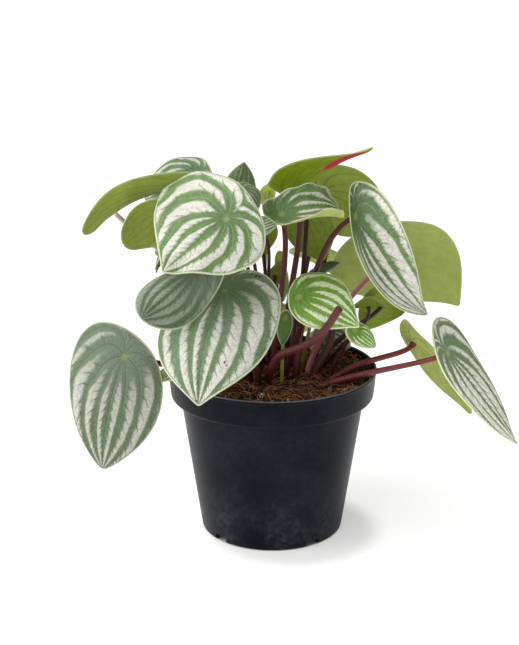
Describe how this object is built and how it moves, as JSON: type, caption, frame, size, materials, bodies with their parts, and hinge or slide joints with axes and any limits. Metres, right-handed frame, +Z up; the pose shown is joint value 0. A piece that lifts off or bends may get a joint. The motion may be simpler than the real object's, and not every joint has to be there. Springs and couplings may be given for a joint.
{
  "type": "potted plant",
  "caption": "Potted watermelon peperomia: silver-striped round leaves on dark red stalks in a round black nursery pot filled with soil.",
  "frame": {"origin": "centre of the pot's base, on the floor", "axes": "+Z up through the pot's middle, -Y towards the viewer, +X to the viewer's right"},
  "size_m": [0.2484, 0.2108, 0.2254],
  "materials": {
    "pot": "satin black moulded plastic",
    "soil": "loose fibrous coir compost",
    "leaf": "waxy leaf, dull silver stripes on green, olive underside",
    "stalk": "smooth dark red stalk"
  },
  "bodies": {
    "root": {"blade_back_upright": "leaf", "blade_centre_bright": "leaf", "blade_centre_small": "leaf", "blade_far_left": "leaf", "blade_far_right": "leaf", "blade_far_right_under": "leaf", "blade_front_crown": "leaf", "blade_front_dull": "leaf", "blade_front_hanging": "leaf", "blade_left_arched": "leaf", "blade_left_back": "leaf", "blade_left_under": "leaf", "blade_rear_left": "leaf", "blade_rear_low_left": "leaf", "blade_rear_low_right": "leaf", "blade_rear_right": "leaf", "blade_right_back": "leaf", "blade_right_large": "leaf", "blade_top_cupped": "leaf", "cut_stalk": "stalk", "leaf_green_edge": "leaf", "leaf_left_sliver": "leaf", "leaf_low_back_a": "leaf", "leaf_low_back_b": "leaf", "leaf_low_left": "leaf", "leaf_pale_edge": "leaf", "leaf_peak": "leaf", "leaf_shade_leaf": "leaf", "leaf_small_cup": "leaf", "leaf_small_dark": "leaf", "leaf_small_under": "leaf", "leaf_spotted": "leaf", "leaf_striped_bit": "leaf", "leaf_under_centre": "leaf", "leaf_under_left": "leaf", "leaf_young_drop": "leaf", "leaf_young_point": "leaf", "mid_stalk": "stalk", "pale_stalk": "stalk", "pot": "pot", "soil": "soil", "stalk_back_upright": "stalk", "stalk_centre_bright": "stalk", "stalk_centre_small": "stalk", "stalk_far_left": "stalk", "stalk_far_right": "stalk", "stalk_far_right_under": "stalk", "stalk_front_crown": "stalk", "stalk_front_dull": "stalk", "stalk_front_hanging": "stalk", "stalk_left_arched": "stalk", "stalk_left_back": "stalk", "stalk_left_under": "stalk", "stalk_rear_left": "stalk", "stalk_rear_low_left": "stalk", "stalk_rear_low_right": "stalk", "stalk_rear_right": "stalk", "stalk_right_back": "stalk", "stalk_right_large": "stalk", "stalk_top_cupped": "stalk"}
  },
  "joints": []
}
